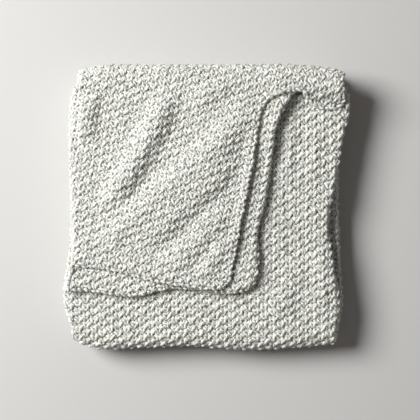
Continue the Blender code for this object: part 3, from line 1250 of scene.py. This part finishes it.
class BLANKET_OT_sides(bpy.types.Operator):
    """Knit the lower back and the folds at both sides"""

    bl_idname = "blanket.sides"
    bl_label = "Side stitches"

    def execute(self, context):
        carrier, flat = carrier_patch(
            "back_patch",
            (row_end(0) - 3, row_start(1) + 3),
            (0, MIDDLE_START + 3),
            (row_start(1), row_start(1) + 3),
            (0, OUTER_END),
            1,
            0.0,
        )
        stitches("stitches_lower_back", carrier, flat)
        for number in range(FLAP):
            carrier, flat = carrier_patch(
                "left_patch",
                (row_start(number), row_end(number)),
                (OUTER_END - 3, MIDDLE_START + 3),
                (row_start(number), row_end(number)),
                (OUTER_END - 3, OUTER_END),
                1,
                0.0,
                1,
            )
            stitches(f"stitches_left_{number + 1}", carrier, flat)
        carrier, flat = carrier_patch(
            "second_patch",
            (row_start(1), row_end(1)),
            (0, 12),
            (row_start(1), row_end(1)),
            (0, 12),
            1,
            0.0,
            1,
        )
        stitches("stitches_second", carrier, flat)
        for number in range(FLAP - 1):
            carrier, flat = carrier_patch(
                "right_patch",
                (row_start(number), row_end(number)),
                (MIDDLE_END - 3, INNER_START + 3),
                (row_start(number), row_end(number)),
                (INNER_START, INNER_START + 3),
                -1,
                0.0,
                1,
            )
            stitches(f"stitches_right_{number + 1}", carrier, flat)
        return {"FINISHED"}


@functools.cache
def edge_tree():
    """Yarn wound along an edge, one turn for each row or stitch that ends there."""
    graph, given = new_tree(
        "edge_loops",
        [
            ("Pitch", "Float"),
            ("Points", "Int"),
            ("Reach", "Float"),
            ("Thickness", "Float"),
            ("Unevenness", "Float"),
            ("Sides", "Int"),
            ("Yarn", "Material"),
        ],
    )
    line = graph.first("GeometryNodeMeshToCurve", given["Geometry"])
    fine = graph.node("GeometryNodeResampleCurve", mode="LENGTH")
    graph.fill(fine.inputs["Curve"], line)
    graph.fill(fine.inputs["Length"], graph.math("DIVIDE", given["Pitch"], given["Points"]))
    along = graph.node("GeometryNodeSplineParameter").outputs["Length"]
    angle = graph.math("MULTIPLY", graph.math("DIVIDE", along, given["Pitch"]), 2.0 * math.pi)
    outward = graph.attribute("outward", "FLOAT_VECTOR")
    upward = graph.attribute("upward", "FLOAT_VECTOR")
    shown = graph.attribute("shown", "FLOAT")
    out = graph.vector("SCALE", outward, graph.math("MULTIPLY", graph.math("COSINE", angle), given["Reach"]))
    up = graph.vector("SCALE", upward, graph.math("MULTIPLY", graph.math("SINE", angle), given["Reach"]))
    place = graph.first("GeometryNodeInputPosition")
    moved = graph.vector("ADD", stray(graph, place, 125.0, given["Unevenness"]), out)
    coil = graph.first(
        "GeometryNodeSetPosition", fine.outputs["Curve"], True, None, graph.vector("ADD", moved, up)
    )
    coil = graph.first(
        "GeometryNodeDeleteGeometry", coil, graph.math("LESS_THAN", shown, 0.5), domain="POINT"
    )
    mesh = tube(graph, coil, given["Thickness"], given["Sides"], 1.0)
    return finish_tree(graph, mesh, given["Yarn"])


def edge_line(name, points, outward, upward):
    """Line along a free edge, with its ways out of and square to the cloth."""
    mesh = bpy.data.meshes.new(name)
    count = len(points)
    mesh.from_pydata(points.tolist(), [(at, at + 1) for at in range(count - 1)], [])
    shown = np.array(
        [
            shows(points[at], outward[at]) or shows(points[at], upward[at]) or shows(points[at], -upward[at])
            for at in range(count)
        ]
    )
    for label, values in (("outward", outward), ("upward", upward)):
        layer = mesh.attributes.new(label, "FLOAT_VECTOR", "POINT")
        layer.data.foreach_set("vector", values.astype(np.float32).ravel())
    layer = mesh.attributes.new("shown", "FLOAT", "POINT")
    layer.data.foreach_set("value", shown.astype(np.float32))
    line = bpy.data.objects.new(name, mesh)
    bpy.context.scene.collection.objects.link(line)
    return line


def unit(vectors):
    """Vectors of length 1."""
    return vectors / np.linalg.norm(vectors, axis=-1, keepdims=True)


class BLANKET_OT_edges(bpy.types.Operator):
    """Finish the free edges of the cloth"""

    bl_idname = "blanket.edges"
    bl_label = "Edge loops"

    def execute(self, context):
        yarn = context.scene.blanket_yarn
        cloth = context.scene.blanket_cloth
        points = cloth_points()
        upward = cloth_outward()
        edges = {
            "edge_outer": (points[:, 0], unit(points[:, 0] - points[:, 1]), upward[:, 0]),
            "edge_inner": (points[:, -1], unit(points[:, -1] - points[:, -2]), upward[:, -1]),
            "edge_bottom": (points[0], unit(points[0] - points[1]), upward[0]),
            "edge_flap": (points[-1], unit(points[-1] - points[-2]), upward[-1]),
        }
        values = {
            "Pitch": cloth.edge_pitch,
            "Points": 8,
            "Reach": cloth.edge_reach,
            "Thickness": cloth.edge_yarn,
            "Unevenness": yarn.unevenness,
            "Sides": 6,
            "Yarn": yarn_material(),
        }
        for name, (line, outward, square) in edges.items():
            settle(grow(edge_line(name + "_line", line, outward, square), edge_tree(), values, name))
        return {"FINISHED"}


class BLANKET_OT_underside(bpy.types.Operator):
    """Knit the underside, pressed flat by the blanket's weight"""

    bl_idname = "blanket.underside"
    bl_label = "Underside stitches"

    def execute(self, context):
        carrier, flat = carrier_patch(
            "under_patch",
            (row_start(0), row_end(0)),
            (0, OUTER_END),
            (row_start(0), row_end(0)),
            (0, OUTER_END),
            1,
            0.0,
        )
        stitches("stitches_underside", carrier, flat, 0.6, {"Points": 9, "Sides": 5})
        return {"FINISHED"}


class BLANKET_OT_cloth(bpy.types.Operator):
    """Lay the thin cloth that carries all the stitches"""

    bl_idname = "blanket.cloth"
    bl_label = "Cloth"

    def execute(self, context):
        points = cloth_points()
        tall, wide = points.shape[:2]
        mesh = bpy.data.meshes.new("cloth")
        mesh.from_pydata(points.reshape(-1, 3).tolist(), [], quads(tall, wide, True))
        mesh.shade_smooth()
        mesh.materials.append(cloth_material())
        cloth = bpy.data.objects.new("cloth", mesh)
        context.scene.collection.objects.link(cloth)
        wall = cloth.modifiers.new("cloth thickness", "SOLIDIFY")
        wall.thickness = context.scene.blanket_cloth.core
        wall.offset = 0.0
        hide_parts("blanket")
        settle(cloth)
        return {"FINISHED"}


class BLANKET_OT_studio(bpy.types.Operator):
    """Set up the pale floor, the soft light and the camera overhead"""

    bl_idname = "blanket.studio"
    bl_label = "Studio"

    def execute(self, context):
        look = context.scene.blanket_studio
        bpy.ops.mesh.primitive_plane_add(size=12.0)
        floor = context.object
        floor.name = "floor"
        paint = bpy.data.materials.new("pale_floor")
        paint.use_nodes = True
        shader = paint.node_tree.nodes["Principled BSDF"]
        shader.inputs["Base Color"].default_value = (*look.floor, 1.0)
        shader.inputs["Roughness"].default_value = 0.7
        floor.data.materials.append(paint)

        lamp_data = bpy.data.lights.new("soft_lamp", "AREA")
        lamp_data.shape = "DISK"
        lamp_data.size = LAMP_SIZE
        lamp_data.energy = look.lamp
        lamp = bpy.data.objects.new("soft_lamp", lamp_data)
        lamp.location = LAMP_PLACE
        lamp.rotation_mode = "QUATERNION"
        lamp.rotation_quaternion = (-Vector(LAMP_PLACE)).to_track_quat("-Z", "Y")
        context.scene.collection.objects.link(lamp)

        world = bpy.data.worlds.new("even_light")
        world.use_nodes = True
        sky = world.node_tree.nodes["Background"]
        sky.inputs["Color"].default_value = (1.0, 0.94, 0.93, 1.0)
        sky.inputs["Strength"].default_value = look.sky
        context.scene.world = world
        context.scene.view_settings.view_transform = "Standard"

        camera_data = bpy.data.cameras.new("camera")
        camera_data.lens = look.camera_lens
        camera_data.sensor_width = 36.0
        camera_data.clip_end = 20.0
        camera = bpy.data.objects.new("camera", camera_data)
        camera.location = (CAMERA_X, CAMERA_Y, look.camera_height)
        context.scene.collection.objects.link(camera)
        context.scene.camera = camera
        return {"FINISHED"}


LAMP_PLACE = (-2.24, 0.92, 2.26)
LAMP_SIZE = 1.75
CAMERA_X = 4.6 * MM
CAMERA_Y = -4.4 * MM

PIECES = (
    BLANKET_OT_flap,
    BLANKET_OT_strip,
    BLANKET_OT_base,
    BLANKET_OT_sides,
    BLANKET_OT_edges,
    BLANKET_OT_underside,
    BLANKET_OT_cloth,
    BLANKET_OT_studio,
)
SETTINGS = (BlanketYarn, BlanketCloth, BlanketStudio)


class BLANKET_PT_panel(bpy.types.Panel):
    """Settings and steps of the blanket"""

    bl_label = "Chunky Knit Blanket"
    bl_space_type = "VIEW_3D"
    bl_region_type = "UI"
    bl_category = "Blanket"

    def draw(self, context):
        for group in ("blanket_yarn", "blanket_cloth", "blanket_studio"):
            settings = getattr(context.scene, group)
            box = self.layout.box()
            for name in settings.bl_rna.properties.keys():
                if name not in ("rna_type", "name"):
                    box.prop(settings, name)
        for operator in PIECES:
            self.layout.operator(operator.bl_idname)


def register():
    """Register the settings, the operators and the panel."""
    for kind in (*SETTINGS, *PIECES, BLANKET_PT_panel):
        bpy.utils.register_class(kind)
    bpy.types.Scene.blanket_yarn = PointerProperty(type=BlanketYarn)
    bpy.types.Scene.blanket_cloth = PointerProperty(type=BlanketCloth)
    bpy.types.Scene.blanket_studio = PointerProperty(type=BlanketStudio)


def unregister():
    """Take back what register has done."""
    del bpy.types.Scene.blanket_studio
    del bpy.types.Scene.blanket_cloth
    del bpy.types.Scene.blanket_yarn
    for kind in reversed((*SETTINGS, *PIECES, BLANKET_PT_panel)):
        bpy.utils.unregister_class(kind)


def main():
    """Build every piece and the stage, and note the sizes."""
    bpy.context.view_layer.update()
    register()
    bpy.ops.blanket.flap()
    bpy.ops.blanket.strip()
    bpy.ops.blanket.base()
    bpy.ops.blanket.sides()
    bpy.ops.blanket.edges()
    bpy.ops.blanket.underside()
    bpy.ops.blanket.cloth()
    bpy.ops.blanket.studio()


if __name__ == "__main__":
    main()
